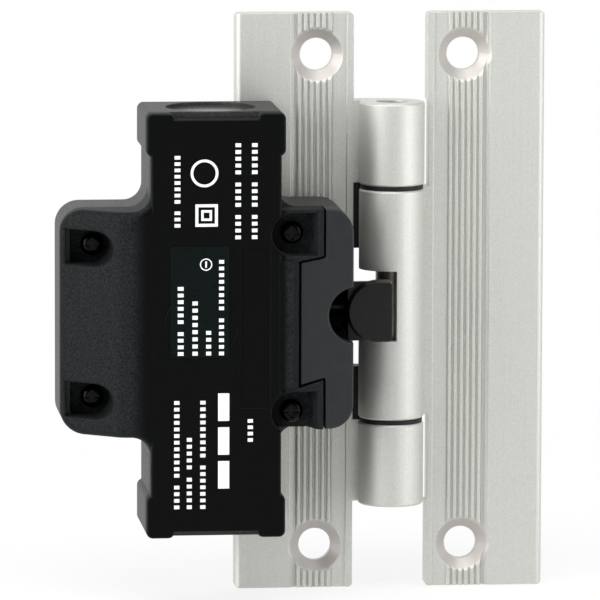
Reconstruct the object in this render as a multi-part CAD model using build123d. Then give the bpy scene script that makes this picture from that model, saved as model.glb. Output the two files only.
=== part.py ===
from build123d import *
import os

# Safety hinge switch. Sizes in millimetres, +Z up, the viewer at -Y.
# The origin is the middle of the fixed leaf's two holes, on its mounting face.
# "h" is a distance to the right of the hinge axis, "d" a depth in front of the leaf's front face.

# Leaves
LEAF_HEIGHT = 110.0
LEAF_THICKNESS = 3.6
LEAF_INNER = 7.0
LEAF_OUTER = 29.5
LEAF_CORNER = 0.8
OUTER_ROUNDING = 1.2
LIP_WIDTH = 1.3
FLAT_DROP = 0.35
RIDGES_START = 10.9
RIDGE_COUNT = 6
RIDGE_PITCH = 1.16
RIDGE_DROP = 0.45
RIDGE_SHARES = (0.1, 0.3, 0.75, 0.95)
GROOVE_WIDTH = 0.6
GROOVE_DROP = 0.7
STEP_WIDTH = 0.5
STEP_DROP = 0.25
HOLE_OFFSET = 14.0
HOLE_END = 8.0
HOLE_RADIUS = 3.1
SINK_RADIUS = 5.3
RELIEF = 0.3

# Hinge barrel
BARREL_RADIUS = 6.2
MIDDLE_KNUCKLE = 43.8
OUTER_KNUCKLE = 15.7
BUSH_FLANGE = 0.8
FLANGE_INSET = 0.25
AXIAL_PLAY = 0.05
PIN_RADIUS = 3.0
PIN_RECESS = 0.4
PRESS_GAP = 0.01
RUNNING_GAP = 0.04
KNURL_COUNT = 20
KNURL_DEPTH = 0.3
KNURL_LENGTH = 6.0
SLEEVE_RADIUS = 4.0
SLEEVE_LENGTH = 10.0
UPPER_TAB = 12.5
LOWER_TAB = 10.2
TAB_GAP = 0.15
TAB_SEAT = 0.02
TAB_ROUNDING = 1.0
WINDOW_HALF = 6.65
WINDOW_PLANE = 0.3
KNUCKLE_CHAMFER = 0.3

# Plunger
TRAVEL = 4.0
NOSE_RADIUS = 5.9
NOSE_COVER = 0.7
NOSE_FACE = -1.45
NOSE_CENTRE = -3.95
NOSE_FLAT = 2.0
NOSE_FACE_EDGE = 0.35
SWEEP_GAP = 0.3
TONGUE_HALF = 4.25
TONGUE_NEAR = 3.0
TONGUE_LEFT = -9.6
TONGUE_RIGHT = -3.4
BODY_RADIUS = 5.6
ROD_RADIUS = 2.0
ROD_DEPTH = 5.8
ROD_LEFT = -33.4

# Housing outline
BLOCK_LEFT = -48.2
BLOCK_RIGHT = -22.1
BLOCK_BOTTOM = -41.6
BLOCK_TOP = 38.4
BLOCK_INSET = 0.8
END_INSET = 1.1
FOOT_WIDTH = 5.3
FOOT_HEIGHT = 8.1
BLOCK_CORNER = 1.2
LEFT_WING = -63.8
LEFT_WING_BOTTOM = -22.6
LEFT_WING_TOP = 19.9
RIGHT_WING = -9.2
RIGHT_WING_BOTTOM = -21.4
RIGHT_WING_TOP = 20.1
WING_CORNER = 4.5
WING_ROOT = 3.5

# Housing depths
WALL = 2.0
FLOOR = 2.0
BLOCK_PARTING = 18.5
LEFT_PARTING = 12.0
RIGHT_PARTING = 15.0
BLOCK_FRONT = 22.0
LEFT_FRONT = 13.8
EAR_FRONT = 21.0
COVER_FRONT = 20.7
FRONT_EDGE = 0.6
HOOD_EDGE = 1.5
HOOD_RIM_END = 1.0
FRONT_TURN = 0.3
COVER_EDGE = 0.4
SLOPE_TURN = -54.0
TURN_DEPTH = 21.2
SLOPE_END = -50.0
UPPER_CAVITY_RIGHT = -27.2
UPPER_CAVITY_START = 14.0
CAVITY_CORNER = 1.0
OPEN_PAST = 1.0

# Right ears, head cover and its notch
EAR_RIGHT = -14.9
EAR_TIPS = (11.3, -12.15)
EAR_ROOTS = (10.35, -13.6)
STRIP_RIGHT = -19.5
STRIP_BEVEL = 1.2
SEAM_GAP = 0.35
NOTCH_RADIUS = 5.3
NOTCH_CENTRE = -8.5
HEAD_GAP = 0.35
TONGUE_GAP = 0.3
PEG_RADIUS = 1.2
PEG_LENGTH = 3.5

# Screws and their pockets
SCREW_HEAD_RADIUS = 2.15
SCREW_HEAD_HEIGHT = 1.7
SCREW_HEAD_ROUNDING = 1.1
SCREW_RADIUS = 1.25
SCREW_BITE = 7.0
SCREW_GAP = 0.02
RECESS_WIDTH = 0.75
RECESS_SPAN = 2.6
RECESS_DEPTH = 1.0
MARK_WIDTH = 0.35
MARK_SPAN = 2.3
MARK_DEPTH = 0.45
POCKET_FLOOR = 2.0
POCKET_WALL = 0.8
SEAT_GAP = 0.1
RIGHT_SCREW = -20.6
RIGHT_SCREW_ZS = (15.4, -18.3)
RIGHT_POCKET_RADIUS = 4.0
RIGHT_POCKET_END = -15.9
RIGHT_POCKET_RAMP = 1.6
RIGHT_RIM = 0.35
LEFT_SCREW = -57.6
LEFT_SCREW_ZS = (12.8, -16.0)
LEFT_POCKET_RADIUS = 3.3
LEFT_POCKET_END = -62.6
LEFT_POCKET_DEPTH = 10.5
LEFT_RIM = 0.45
LEFT_LEDGE = 0.95
RIM_MARGIN = 0.15
BOSS_WALL = 1.6
BOSS_FLOOR = 1.0

# Label, panel and cable knock-outs
LABEL_LEFT = -43.7
LABEL_RIGHT = -32.8
LABEL_BOTTOM = -7.4
LABEL_TOP = 13.4
LABEL_THICKNESS = 0.12
LABEL_CORNER = 0.4
PANEL_LEFT = -30.6
PANEL_RIGHT = -25.0
PANEL_BOTTOM = -17.1
PANEL_TOP = 13.0
PANEL_DEPTH = 0.3
KNOCKOUT_RADIUS = 8.5
KNOCKOUT_CENTRE = 9.7
KNOCKOUT_DEPTH = 0.8
RING_PLACE = (-38.2, -1.4)
RING_RADIUS = 6.8
RING_WIDTH = 0.3
RING_DEPTH = 0.12
SEAL_WIDTH = 1.0
SEAL_INSET = 0.5
SEAL_CORNER = 1.5

# Screws from behind the leaf
BASE_SCREW_RADIUS = 1.5
BASE_SCREW_HEAD = 2.9
BASE_SCREW_BITE = 6.0
BASE_SCREW_PLACES = ((-14.0, 15.0), (-14.0, -16.5), (-28.6, 29.0), (-28.6, -32.0))

# Contacts
SLIDE_LEFT = -39.6
SLIDE_RIGHT = -27.0
SLIDE_HALF = 3.2
SLIDE_NEAR = 3.0
SLIDE_FAR = 13.4
SLIDE_GAP = 0.1
BRIDGE_THICKNESS = 0.8
BRIDGE_NEAR = 8.6
BRIDGE_FAR = 12.0
BRIDGE_HALF = 8.2
OPENING_BRIDGE = -28.6
OPENING_WINDOW = 5.0
CLOSING_BRIDGE = -38.4
CLOSING_WINDOW = 4.0
TIP_RADIUS = 1.3
TIP_THICKNESS = 0.6
TIP_Z = 6.5
CONTACT_GAP = 0.1
STRIP_THICKNESS = 0.8
TERRACE_FAR = 6.0
TERRACE_HALF = 24.0
STRIP_WIDTH = 5.6
STRIP_INNER = 5.0
STRIP_OUTER = 22.4
TERMINAL_Z = 19.0
TERMINAL_RADIUS = 1.5
TERMINAL_HEAD_RADIUS = 2.5
TERMINAL_HEAD_HEIGHT = 2.0
CLAMP_SIDE = 5.2
CHEEK_WALL = 1.2
CHEEK_FAR = 7.4

# Springs, bush and wiper
RETURN_SPRING_RADIUS = 1.9
RETURN_WIRE = 0.5
RETURN_TURNS = 7
RETURN_BORE_RADIUS = 2.3
CONTACT_SPRING_RADIUS = 1.4
CONTACT_WIRE = 0.4
CONTACT_TURNS = 3
GUIDE_RADIUS = 3.0
GUIDE_RIGHT = -17.0
GUIDE_FLANGE_RADIUS = 3.6
GUIDE_FLANGE = 1.0
WIPER_RADIUS = 3.9
WIPER_LEFT = -16.6
WIPER_WIDTH = 2.0
WIPER_WALL = 0.55

# Places worked out from the sizes above
HOLE_SPACING = LEAF_HEIGHT - 2 * HOLE_END
AXIS_Y = -BARREL_RADIUS
MIDDLE_HALF = MIDDLE_KNUCKLE / 2
OUTER_START = MIDDLE_HALF + BUSH_FLANGE
BARREL_HALF = OUTER_START + OUTER_KNUCKLE
BORE_RADIUS = SLEEVE_RADIUS + RUNNING_GAP
NOSE_DEPTH = RIGHT_PARTING - NOSE_COVER
NOSE_FRONT = NOSE_DEPTH + NOSE_FLAT
RIGHT_POCKET_DEPTH = RIGHT_PARTING + POCKET_FLOOR
CORE_LEFT = BLOCK_LEFT + BLOCK_INSET
CORE_RIGHT = BLOCK_RIGHT - BLOCK_INSET
CORE_BOTTOM = BLOCK_BOTTOM + END_INSET
CORE_TOP = BLOCK_TOP - END_INSET
CAVITY_LEFT = CORE_LEFT + WALL
CAVITY_RIGHT = CORE_RIGHT - WALL
CAVITY_BOTTOM = CORE_BOTTOM + WALL
CAVITY_TOP = CORE_TOP - WALL
BLOCK_MIDDLE = (BLOCK_LEFT + BLOCK_RIGHT) / 2
SLOT_LEFT = TONGUE_LEFT - TRAVEL - TONGUE_GAP
POCKET_CENTRE = NOSE_CENTRE - TRAVEL
HEAD_POCKET_RADIUS = NOSE_RADIUS + HEAD_GAP
SPRING_SEAT = ROD_LEFT - RUNNING_GAP


def px(h):
    return HOLE_OFFSET + h


def py(d):
    return -(LEAF_THICKNESS + d)


def block(h0, h1, z0, z1, d0, d1):
    """Box from three spans."""
    size = Box(h1 - h0, d1 - d0, z1 - z0)
    return Pos(px((h0 + h1) / 2), py((d0 + d1) / 2), (z0 + z1) / 2) * size


def panel(h0, h1, z0, z1, radius=0):
    """Rectangle seen from the front."""
    shape = RectangleRounded(h1 - h0, z1 - z0, radius) if radius else Rectangle(h1 - h0, z1 - z0)
    return Pos(px((h0 + h1) / 2), (z0 + z1) / 2) * shape


def front_prism(outline, d0, d1):
    """Outline seen from the front, run from depth d0 to depth d1."""
    return extrude(Plane.XZ.offset(LEAF_THICKNESS + d0) * outline, d1 - d0, dir=(0, -1, 0))


def front_bar(radius, h, z, d0, d1, far_radius=None):
    """Round bar or cone whose axis points at the viewer."""
    ends = (Align.CENTER, Align.CENTER, Align.MIN)
    if far_radius is None:
        bar = Cylinder(radius, d1 - d0, align=ends)
    else:
        bar = Cone(radius, far_radius, d1 - d0, align=ends)
    return Pos(px(h), py(d0), z) * Rot(90, 0, 0) * bar


def side_bar(radius, h0, h1, z, d):
    """Round bar along X."""
    bar = Cylinder(radius, h1 - h0, align=(Align.CENTER, Align.CENTER, Align.MIN))
    return Pos(px(h0), py(d), z) * Rot(0, 90, 0) * bar


def upright_bar(radius, z0, z1):
    """Round bar on the hinge axis."""
    bar = Cylinder(radius, z1 - z0, align=(Align.CENTER, Align.CENTER, Align.MIN))
    return Pos(px(0), AXIS_Y, z0) * bar


def plan_prism(points, z0, z1):
    """Closed outline seen from above, as (h, y) points, run from z0 to z1."""
    outline = Polygon(*[(px(h), y) for h, y in points], align=None)
    return extrude(Plane.XY.offset(z0) * outline, z1 - z0, dir=(0, 0, 1))


def helix_spring(radius, wire, turns, h0, h1, d):
    """Compression spring along X between h0 and h1."""
    length = h1 - h0 - wire
    path = Helix(length / turns, length, radius)
    coil = sweep(Plane(path @ 0, z_dir=path % 0) * Circle(wire / 2), path, is_frenet=True)
    return Pos(px(h0) + wire / 2, py(d), 0) * Rot(0, 90, 0) * coil


def leaf_plate(side):
    """Extruded leaf: lip, shallow flat, band of ridges, groove, step and wide flat with a rounded edge."""
    ridges_end = RIDGES_START + RIDGE_COUNT * RIDGE_PITCH
    lip_end = LEAF_INNER + LIP_WIDTH
    profile = [(LEAF_INNER, 0), (lip_end, 0), (lip_end, FLAT_DROP), (RIDGES_START, FLAT_DROP)]
    for i in range(RIDGE_COUNT):
        start = RIDGES_START + i * RIDGE_PITCH
        drops = (RIDGE_DROP, 0, 0, RIDGE_DROP)
        profile += [(start + share * RIDGE_PITCH, drop) for share, drop in zip(RIDGE_SHARES, drops)]
    groove_end = ridges_end + GROOVE_WIDTH
    step_end = groove_end + STEP_WIDTH
    profile += [
        (ridges_end, GROOVE_DROP),
        (groove_end, GROOVE_DROP),
        (groove_end, STEP_DROP),
        (step_end, STEP_DROP),
        (step_end, 0),
        (LEAF_OUTER, 0),
    ]
    points = [(side * u, drop - LEAF_THICKNESS) for u, drop in profile]
    points += [(side * LEAF_OUTER, 0), (side * LEAF_INNER, 0)]
    plate = plan_prism(points, -LEAF_HEIGHT / 2, LEAF_HEIGHT / 2)
    edges = plate.edges().filter_by(Axis.Z).group_by(Axis.X)[-1 if side > 0 else 0]
    plate = fillet(edges.sort_by(Axis.Y)[0], OUTER_ROUNDING)
    low, high = sorted((side * LEAF_INNER, side * LEAF_OUTER))
    outline = panel(low, high, -LEAF_HEIGHT / 2, LEAF_HEIGHT / 2, LEAF_CORNER)
    plate &= front_prism(outline, -LEAF_THICKNESS, 0)
    for z in (-HOLE_SPACING / 2, HOLE_SPACING / 2):
        h = side * HOLE_OFFSET
        plate -= front_bar(HOLE_RADIUS, h, z, -LEAF_THICKNESS, 0)
        plate -= front_bar(HOLE_RADIUS, h, z, HOLE_RADIUS - SINK_RADIUS, 0, SINK_RADIUS)
    return plate


def knuckle(side, z0, z1):
    """Round knuckle with the web that joins it to its leaf, flush with the leaf's back."""
    low, high = sorted((0, side * (LEAF_INNER + LIP_WIDTH / 2)))
    web = block(low, high, z0, z1, -LEAF_THICKNESS, 0)
    barrel = upright_bar(BARREL_RADIUS, z0, z1)
    rims = barrel.edges().filter_by(GeomType.CIRCLE)
    return web + chamfer(rims, KNUCKLE_CHAMFER)


def make_frame_leaf():
    leaf = leaf_plate(-1)
    for z0, z1 in ((OUTER_START, BARREL_HALF), (-BARREL_HALF, -OUTER_START)):
        leaf += knuckle(-1, z0, z1)
    leaf -= upright_bar(PIN_RADIUS + PRESS_GAP, -BARREL_HALF, BARREL_HALF)
    for h, z in BASE_SCREW_PLACES:
        leaf -= front_bar(BASE_SCREW_RADIUS + SCREW_GAP, h, z, -LEAF_THICKNESS, 0)
        head = BASE_SCREW_HEAD + SCREW_GAP
        shank = BASE_SCREW_RADIUS + SCREW_GAP
        leaf -= front_bar(head, h, z, -LEAF_THICKNESS, head - shank - LEAF_THICKNESS, shank)
    return leaf


def make_door_leaf():
    leaf = leaf_plate(1)
    relief_end = LEAF_INNER + RELIEF
    for z0, z1 in ((MIDDLE_HALF, BARREL_HALF), (-BARREL_HALF, -MIDDLE_HALF)):
        leaf -= block(LEAF_INNER - RELIEF, relief_end, z0, z1, -LEAF_THICKNESS, 0)
    leaf += knuckle(1, -MIDDLE_HALF + AXIAL_PLAY, MIDDLE_HALF - AXIAL_PLAY)
    leaf -= upright_bar(BORE_RADIUS, -MIDDLE_HALF, MIDDLE_HALF)
    left = -BARREL_RADIUS - OPEN_PAST
    leaf -= block(left, WINDOW_PLANE, -WINDOW_HALF, WINDOW_HALF, -LEAF_THICKNESS, NOSE_DEPTH)
    return leaf


def make_pin():
    """Pin with serrated ends that bite in the outer knuckles."""
    half = BARREL_HALF - PIN_RECESS
    pin = upright_bar(PIN_RADIUS, -half, half)
    for i in range(KNURL_COUNT):
        turn = 360 * i / KNURL_COUNT
        tooth = Pos(PIN_RADIUS, 0, 0) * Rot(0, 0, 45) * Box(KNURL_DEPTH, KNURL_DEPTH, KNURL_LENGTH)
        for z in (half - KNURL_LENGTH / 2, KNURL_LENGTH / 2 - half):
            pin -= Pos(px(0), AXIS_Y, z) * Rot(0, 0, turn) * tooth
    return pin


def make_bush(side):
    """Flanged bush. Its tab sits against the fixed leaf's edge and keeps the bush from turning."""
    low = MIDDLE_HALF + AXIAL_PLAY
    high = OUTER_START
    bush = upright_bar(SLEEVE_RADIUS, MIDDLE_HALF - SLEEVE_LENGTH, low)
    bush += upright_bar(BARREL_RADIUS - FLANGE_INSET, low, high)
    tab_left = TAB_SEAT - LEAF_INNER
    bush += block(tab_left, 0, low, high, -LEAF_THICKNESS, 0)
    tab_low = OUTER_START - (UPPER_TAB if side > 0 else LOWER_TAB)
    tab = block(tab_left, 0, tab_low, high, -LEAF_THICKNESS, 0)
    corner = tab.edges().filter_by(Axis.Y).sort_by(Axis.Z)[0:2].sort_by(Axis.X)[1]
    tab = fillet(corner, TAB_ROUNDING)
    tab -= upright_bar(BARREL_RADIUS + TAB_GAP, tab_low, low)
    bush += tab
    bush -= upright_bar(PIN_RADIUS + RUNNING_GAP, 0, high)
    return bush if side > 0 else mirror(bush, about=Plane.XY)


def half_bar(radius, left, right):
    """Half-round bar behind the nose's middle."""
    bar = side_bar(radius, left, right, 0, NOSE_DEPTH)
    return bar & block(left, right, -radius, radius, NOSE_DEPTH - radius, NOSE_DEPTH)


def make_plunger():
    """Domed nose with a flat front, its body, the tongue that the window pushes, and the rod."""
    tip = NOSE_CENTRE - NOSE_RADIUS
    dome = CenterArc((NOSE_CENTRE, 0), NOSE_RADIUS, 90, 90)
    side = Polyline(
        (tip, 0), (NOSE_FACE, 0), (NOSE_FACE, NOSE_RADIUS - NOSE_FACE_EDGE),
        (NOSE_FACE - NOSE_FACE_EDGE, NOSE_RADIUS), (NOSE_CENTRE, NOSE_RADIUS),
    )
    nose = Pos(px(0), py(NOSE_DEPTH), 0) * revolve(make_face(dome + side), Axis.X)
    nose -= block(
        NOSE_CENTRE - NOSE_RADIUS, 0, -NOSE_RADIUS, NOSE_RADIUS, NOSE_FRONT, NOSE_DEPTH + NOSE_RADIUS
    )
    nose -= upright_bar(BARREL_RADIUS + SWEEP_GAP, -NOSE_RADIUS, NOSE_RADIUS)
    nose += block(TONGUE_LEFT, TONGUE_RIGHT, -TONGUE_HALF, TONGUE_HALF, TONGUE_NEAR, NOSE_DEPTH)
    nose += half_bar(BODY_RADIUS, TONGUE_LEFT, NOSE_CENTRE)
    return nose + side_bar(ROD_RADIUS, ROD_LEFT, TONGUE_LEFT, 0, ROD_DEPTH)


def block_outline():
    """Front view of the block: a core with a wider foot at each corner."""
    outline = panel(CORE_LEFT, CORE_RIGHT, CORE_BOTTOM, CORE_TOP)
    for h0, h1 in ((BLOCK_LEFT, BLOCK_LEFT + FOOT_WIDTH), (BLOCK_RIGHT - FOOT_WIDTH, BLOCK_RIGHT)):
        for z0, z1 in ((BLOCK_BOTTOM, BLOCK_BOTTOM + FOOT_HEIGHT), (BLOCK_TOP - FOOT_HEIGHT, BLOCK_TOP)):
            outline += panel(h0, h1, z0, z1, BLOCK_CORNER)
    return outline


def base_outline():
    """Front view of the base's block: straight ends, wider near the top and the bottom."""
    outline = panel(CORE_LEFT, CORE_RIGHT, BLOCK_BOTTOM, BLOCK_TOP)
    for z0, z1 in ((BLOCK_BOTTOM, BLOCK_BOTTOM + FOOT_HEIGHT), (BLOCK_TOP - FOOT_HEIGHT, BLOCK_TOP)):
        outline += panel(BLOCK_LEFT, BLOCK_RIGHT, z0, z1, BLOCK_CORNER)
    return outline


def wing_outline(tip, root, bottom, top):
    """Front view of a wing: rounded outer corners and hollow corners where it meets the block."""
    low, high = sorted((tip, root))
    wing = panel(low, high, bottom, top)
    outer = wing.vertices().sort_by(Axis.X)
    wing = fillet(outer[0:2] if tip < root else outer[2:4], WING_CORNER)
    side = 1 if tip > root else -1
    wing_x = (root, root + side * WING_ROOT)
    for z, sign in ((top, 1), (bottom, -1)):
        low, high = sorted(wing_x)
        z_low, z_high = sorted((z, z + sign * WING_ROOT))
        corner = panel(low, high, z_low, z_high)
        corner -= Pos(px(wing_x[1]), z + sign * WING_ROOT) * Circle(WING_ROOT)
        wing += corner
    return wing


def left_outline():
    return wing_outline(LEFT_WING, CORE_LEFT, LEFT_WING_BOTTOM, LEFT_WING_TOP)


def right_outline():
    return wing_outline(RIGHT_WING, CORE_RIGHT, RIGHT_WING_BOTTOM, RIGHT_WING_TOP)


def head_pocket():
    """Room for the nose at the end of its travel."""
    room = Pos(px(POCKET_CENTRE), py(NOSE_DEPTH), 0) * Sphere(HEAD_POCKET_RADIUS)
    slot_half = TONGUE_HALF + TONGUE_GAP
    near = TONGUE_NEAR - TONGUE_GAP
    right = RIGHT_WING + OPEN_PAST
    room += block(SLOT_LEFT, right, -slot_half, slot_half, near, NOSE_DEPTH)
    radius = BODY_RADIUS + HEAD_GAP
    room += half_bar(radius, SLOT_LEFT, right)
    return room + block(SLOT_LEFT, right, -radius, radius, NOSE_DEPTH, RIGHT_PARTING)


def ear_outlines(gap):
    """Front views of the two lid ears and their pocket wells, made larger by gap towards the cover."""
    left = RIGHT_SCREW - RIGHT_POCKET_RADIUS - WALL / 2
    ends = (RIGHT_WING_TOP, RIGHT_WING_BOTTOM)
    outlines = []
    for tip, root, end, shift in zip(EAR_TIPS, EAR_ROOTS, ends, (-gap, gap)):
        corners = [
            (left, root + shift), (STRIP_RIGHT, root + shift), (EAR_RIGHT + gap, tip + shift),
            (EAR_RIGHT + gap, end), (left, end),
        ]
        outlines.append(make_face(Polyline(*[(px(h), z) for h, z in corners], close=True)))
    return outlines


def ear_rooms():
    return [front_prism(outline, RIGHT_PARTING, BLOCK_FRONT) for outline in ear_outlines(0)]


def wing_room(gap):
    """Front view of the hollow in the base's left wing, made smaller all round by gap."""
    wall = WALL + gap
    return panel(
        LEFT_WING + wall, CORE_LEFT - gap, LEFT_WING_BOTTOM + wall, LEFT_WING_TOP - wall, WING_CORNER - wall
    )


def make_base():
    base = front_prism(base_outline(), 0, BLOCK_PARTING)
    base += front_prism(left_outline(), 0, LEFT_PARTING)
    base += front_prism(right_outline(), 0, RIGHT_PARTING)
    base -= block(CAVITY_LEFT, CAVITY_RIGHT, CAVITY_BOTTOM, CAVITY_TOP, FLOOR, UPPER_CAVITY_START)
    base -= block(CAVITY_LEFT, UPPER_CAVITY_RIGHT, CAVITY_BOTTOM, CAVITY_TOP, FLOOR, BLOCK_PARTING)
    base -= front_prism(wing_room(0), FLOOR, LEFT_PARTING)
    for room in ear_rooms():
        base -= room
    for z in (BLOCK_BOTTOM, BLOCK_TOP - KNOCKOUT_DEPTH):
        disc = Cylinder(KNOCKOUT_RADIUS, KNOCKOUT_DEPTH, align=(Align.CENTER, Align.CENTER, Align.MIN))
        base -= Pos(px(BLOCK_MIDDLE), py(KNOCKOUT_CENTRE), z) * disc
    for h, z in BASE_SCREW_PLACES:
        base += front_bar(BASE_SCREW_RADIUS + BOSS_WALL, h, z, 0, BASE_SCREW_BITE + BOSS_FLOOR)
        base -= front_bar(BASE_SCREW_RADIUS + SCREW_GAP, h, z, 0, BASE_SCREW_BITE)
    for z in LEFT_SCREW_ZS:
        top = LEFT_POCKET_DEPTH - POCKET_FLOOR
        base += front_bar(SCREW_RADIUS + BOSS_WALL, LEFT_SCREW, z, 0, top)
        base -= front_bar(SCREW_RADIUS + SCREW_GAP, LEFT_SCREW, z, LEFT_POCKET_DEPTH - SCREW_BITE, top)
    for z in RIGHT_SCREW_ZS:
        low = RIGHT_POCKET_DEPTH - SCREW_BITE
        base -= front_bar(SCREW_RADIUS + SCREW_GAP, RIGHT_SCREW, z, low, RIGHT_PARTING)
    for h, z in cover_pegs():
        base -= front_bar(PEG_RADIUS + SCREW_GAP, h, z, RIGHT_PARTING - PEG_LENGTH, RIGHT_PARTING)
    base -= head_pocket()
    base -= side_bar(GUIDE_RADIUS + PRESS_GAP, CAVITY_RIGHT, GUIDE_RIGHT, 0, ROD_DEPTH)
    base -= side_bar(ROD_RADIUS + HEAD_GAP, GUIDE_RIGHT, WIPER_LEFT, 0, ROD_DEPTH)
    base -= side_bar(WIPER_RADIUS + PRESS_GAP, WIPER_LEFT, SLOT_LEFT, 0, ROD_DEPTH)
    base -= seal_ring(BLOCK_PARTING - SEAL_WIDTH)
    return base


def seal_ring(depth):
    """Square-section ring round the block's opening."""
    span = (CORE_LEFT + SEAL_INSET, UPPER_CAVITY_RIGHT + SEAL_INSET + SEAL_WIDTH)
    rise = (CORE_BOTTOM + SEAL_INSET, CORE_TOP - SEAL_INSET)
    ring = panel(*span, *rise, SEAL_CORNER)
    inner_span = (span[0] + SEAL_WIDTH, span[1] - SEAL_WIDTH)
    inner_rise = (rise[0] + SEAL_WIDTH, rise[1] - SEAL_WIDTH)
    ring -= panel(*inner_span, *inner_rise, SEAL_CORNER - SEAL_WIDTH)
    return front_prism(ring, depth, depth + SEAL_WIDTH)


def slope_section(shift, right):
    """Plan section of the lid's left hood, moved inwards by shift, up to the line h = right."""
    start = (px(LEFT_WING + shift), py(LEFT_FRONT - shift))
    turn = (px(SLOPE_TURN + shift), py(TURN_DEPTH - shift))
    end = (px(SLOPE_END + shift), py(BLOCK_FRONT - shift))
    slant = Vector(turn[0] - start[0], turn[1] - start[1]).normalized()
    bend = Spline(turn, end, tangents=(slant, (1, 0)))
    low = py(LEFT_PARTING - shift)
    line = Polyline(end, (px(right), end[1]), (px(right), low), (start[0], low), start, turn)
    return make_face(bend + line)


def hood_solid(shift, right, bottom, top):
    section = Plane.XY.offset(bottom) * slope_section(shift, right)
    return extrude(section, top - bottom, dir=(0, 0, 1))


def on_rim(edge):
    """Whether a front edge of the hood lies on its rim, and not between flat and slope or at the block."""
    crosses = edge.length > LEFT_WING_TOP and edge.center().X > px(LEFT_WING + HOOD_EDGE)
    return edge.center().X < px(CORE_LEFT - HOOD_RIM_END) and not crosses


def left_hood():
    """Lid over the left wing: a slanted front that bends into the block's face."""
    bottom, top = LEFT_WING_BOTTOM - WING_ROOT, LEFT_WING_TOP + WING_ROOT
    right = CORE_LEFT + WALL
    outline = left_outline() + panel(CORE_LEFT, right, LEFT_WING_BOTTOM, LEFT_WING_TOP)
    hood = hood_solid(0, right, bottom, top) & front_prism(outline, LEFT_PARTING, BLOCK_FRONT)
    rims = ShapeList()
    for face in hood.faces().filter_by(lambda f: f.normal_at(f.center()).Y < -FRONT_TURN):
        rims += face.edges().filter_by(on_rim)
    hood = fillet(rims, HOOD_EDGE)
    hood -= hood_solid(WALL, right + WALL, LEFT_WING_BOTTOM + WALL, LEFT_WING_TOP - WALL)
    return hood - block(CORE_LEFT, right, bottom, top, LEFT_PARTING, BLOCK_PARTING)


def pocket_outline(h, z, radius, end):
    """Front view of a screw pocket: round at one side, square at the end h = end."""
    low, high = sorted((h, end))
    return Pos(px(h), z) * Circle(radius) + panel(low, high, z - radius, z + radius)


def round_rim(plug, rim):
    """Pocket room whose edge is rounded by rim where it opens in a face."""
    ledge = [f for f in plug.faces() if f.inner_wires()][0]
    return fillet(ledge.inner_wires()[0].edges(), rim)


def left_pocket(z):
    radius = LEFT_POCKET_RADIUS
    outline = pocket_outline(LEFT_SCREW, z, radius, LEFT_POCKET_END)
    over = pocket_outline(LEFT_SCREW, z, radius + LEFT_LEDGE, LEFT_POCKET_END - LEFT_LEDGE)
    hood = hood_solid(0, CORE_LEFT, LEFT_WING_BOTTOM, LEFT_WING_TOP)
    room = front_prism(outline, LEFT_POCKET_DEPTH, BLOCK_FRONT)
    return round_rim(room + (front_prism(over, LEFT_PARTING, BLOCK_FRONT) - hood), LEFT_RIM)


def right_pocket(z):
    """Pocket in an ear: round at the left, with a floor that rises at the right."""
    radius = RIGHT_POCKET_RADIUS
    floor, face = py(RIGHT_POCKET_DEPTH), py(EAR_FRONT)
    ramp = [
        (RIGHT_SCREW, floor), (RIGHT_POCKET_END - RIGHT_POCKET_RAMP, floor),
        (RIGHT_POCKET_END, face), (RIGHT_SCREW, face),
    ]
    room = plan_prism(ramp, z - radius, z + radius)
    room += front_bar(radius, RIGHT_SCREW, z, RIGHT_POCKET_DEPTH, EAR_FRONT)
    wide = RIGHT_RIM + RIM_MARGIN
    over = pocket_outline(RIGHT_SCREW, z, radius + wide, RIGHT_POCKET_END + wide)
    return round_rim(room + front_prism(over, EAR_FRONT, BLOCK_FRONT), RIGHT_RIM)


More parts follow.
